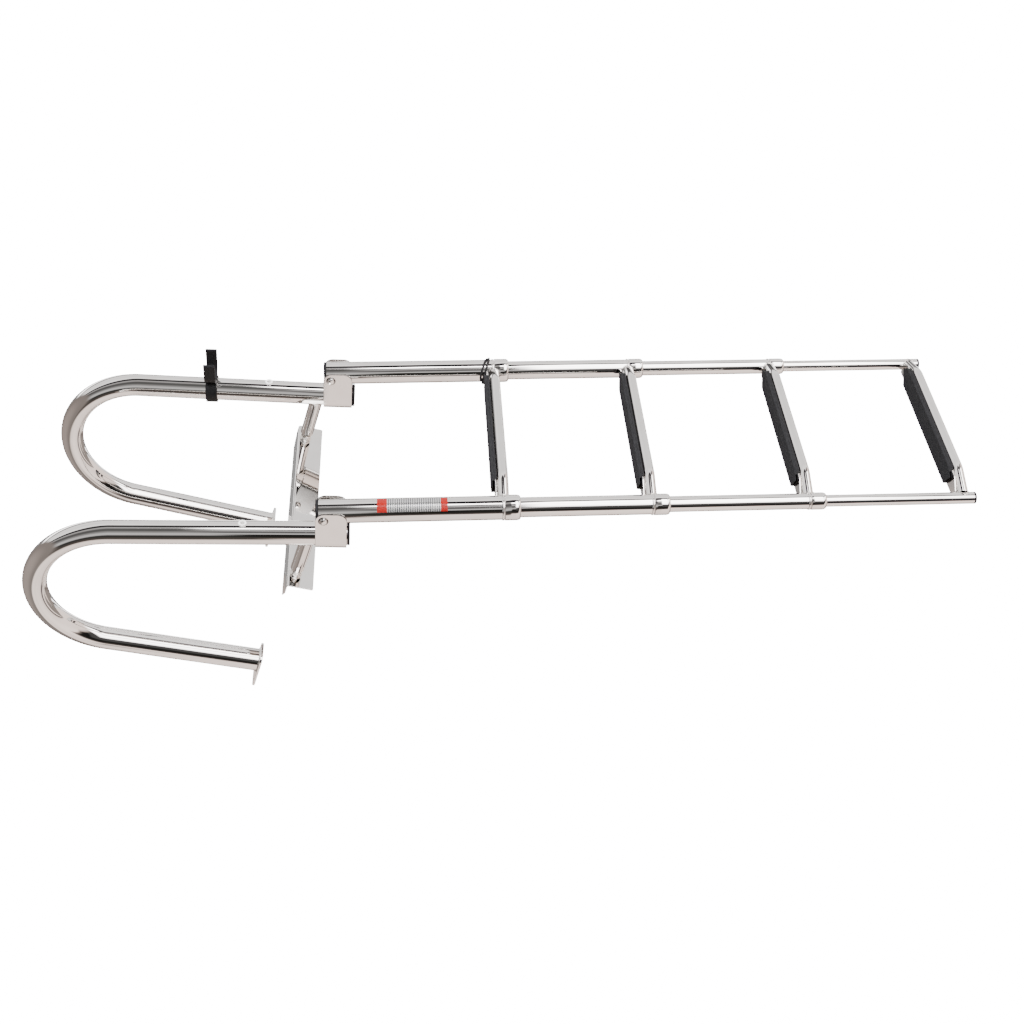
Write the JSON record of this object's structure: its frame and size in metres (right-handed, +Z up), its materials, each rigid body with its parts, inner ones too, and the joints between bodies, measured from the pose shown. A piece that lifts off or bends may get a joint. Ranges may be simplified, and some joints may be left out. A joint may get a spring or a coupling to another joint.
{
  "type": "boarding ladder",
  "caption": "Telescoping stainless boat boarding ladder with arched grab rails, stepped tube stiles, non-slip treads and a bracket that screws to deck and transom; it folds up into a clip.",
  "frame": {"origin": "On the plane of the deck, on the underside of the bracket's deck leaf, halfway along it and 14.5 mm inboard of the transom leaf's inner face.", "axes": "+Z is up and the deck is z = 0. +X runs across the ladder, towards the leg with the clip. +Y is inboard and -Y is outboard, over the water."},
  "size_m": [0.4034, 0.7383, 1.4011],
  "materials": {
    "polished_steel": "mirror-polished stainless steel",
    "black_plastic": "matte, fine grain",
    "white_nylon": "satin",
    "black_cord": "braided"
  },
  "bodies": {
    "mounting_frame": {"transom_bracket": "polished_steel", "handrail_left": "polished_steel", "handrail_right": "polished_steel", "deck_flange_left": "polished_steel", "deck_flange_right": "polished_steel", "handrail_end_cap_left": "black_plastic", "handrail_end_cap_right": "black_plastic", "hinge_bracket_left": "polished_steel", "hinge_bracket_right": "polished_steel", "hinge_bolt_left": "polished_steel", "hinge_bolt_right": "polished_steel", "hinge_nut_left": "polished_steel", "hinge_nut_right": "polished_steel", "rest_grommet_left": "white_nylon", "rest_grommet_right": "white_nylon", "rail_clip": "black_plastic", "strut_left": "polished_steel", "strut_right": "polished_steel", "strut_foot_left": "polished_steel", "strut_foot_right": "polished_steel"},
    "section_1": {"stile_1_left": "polished_steel", "stile_1_right": "polished_steel", "collar_1_left": "polished_steel", "collar_1_right": "polished_steel", "rung_1": "polished_steel", "tread_plate_1": "polished_steel", "tread_1": "black_plastic", "stile_top_cap_left": "black_plastic", "stile_top_cap_right": "black_plastic", "lanyard_loop": "black_cord"},
    "section_2": {"stile_2_left": "polished_steel", "stile_2_right": "polished_steel", "collar_2_left": "polished_steel", "collar_2_right": "polished_steel", "guide_bush_2_left": "white_nylon", "guide_bush_2_right": "white_nylon", "rung_2": "polished_steel", "tread_plate_2": "polished_steel", "tread_2": "black_plastic"},
    "section_3": {"stile_3_left": "polished_steel", "stile_3_right": "polished_steel", "collar_3_left": "polished_steel", "collar_3_right": "polished_steel", "guide_bush_3_left": "white_nylon", "guide_bush_3_right": "white_nylon", "rung_3": "polished_steel", "tread_plate_3": "polished_steel", "tread_3": "black_plastic"},
    "section_4": {"stile_4_left": "polished_steel", "stile_4_right": "polished_steel", "guide_bush_4_left": "white_nylon", "guide_bush_4_right": "white_nylon", "rung_4": "polished_steel", "tread_plate_4": "polished_steel", "tread_4": "black_plastic", "foot_cap_left": "black_plastic", "foot_cap_right": "black_plastic"}
  },
  "joints": [
    {"name": "fold", "type": "hinge", "parent": "mounting_frame", "child": "section_1", "pos_m": [0, -0.165, -0.022], "axis": [-1, 0, 0], "range_deg": [0, 176.4]},
    {"name": "slide_2", "type": "slide", "parent": "section_1", "child": "section_2", "axis": [0, 0.2924, 0.9563], "range_m": [0, 0.19]},
    {"name": "slide_3", "type": "slide", "parent": "section_2", "child": "section_3", "axis": [0, 0.2924, 0.9563], "range_m": [0, 0.204]},
    {"name": "slide_4", "type": "slide", "parent": "section_3", "child": "section_4", "axis": [0, 0.2924, 0.9563], "range_m": [0, 0.205]}
  ]
}
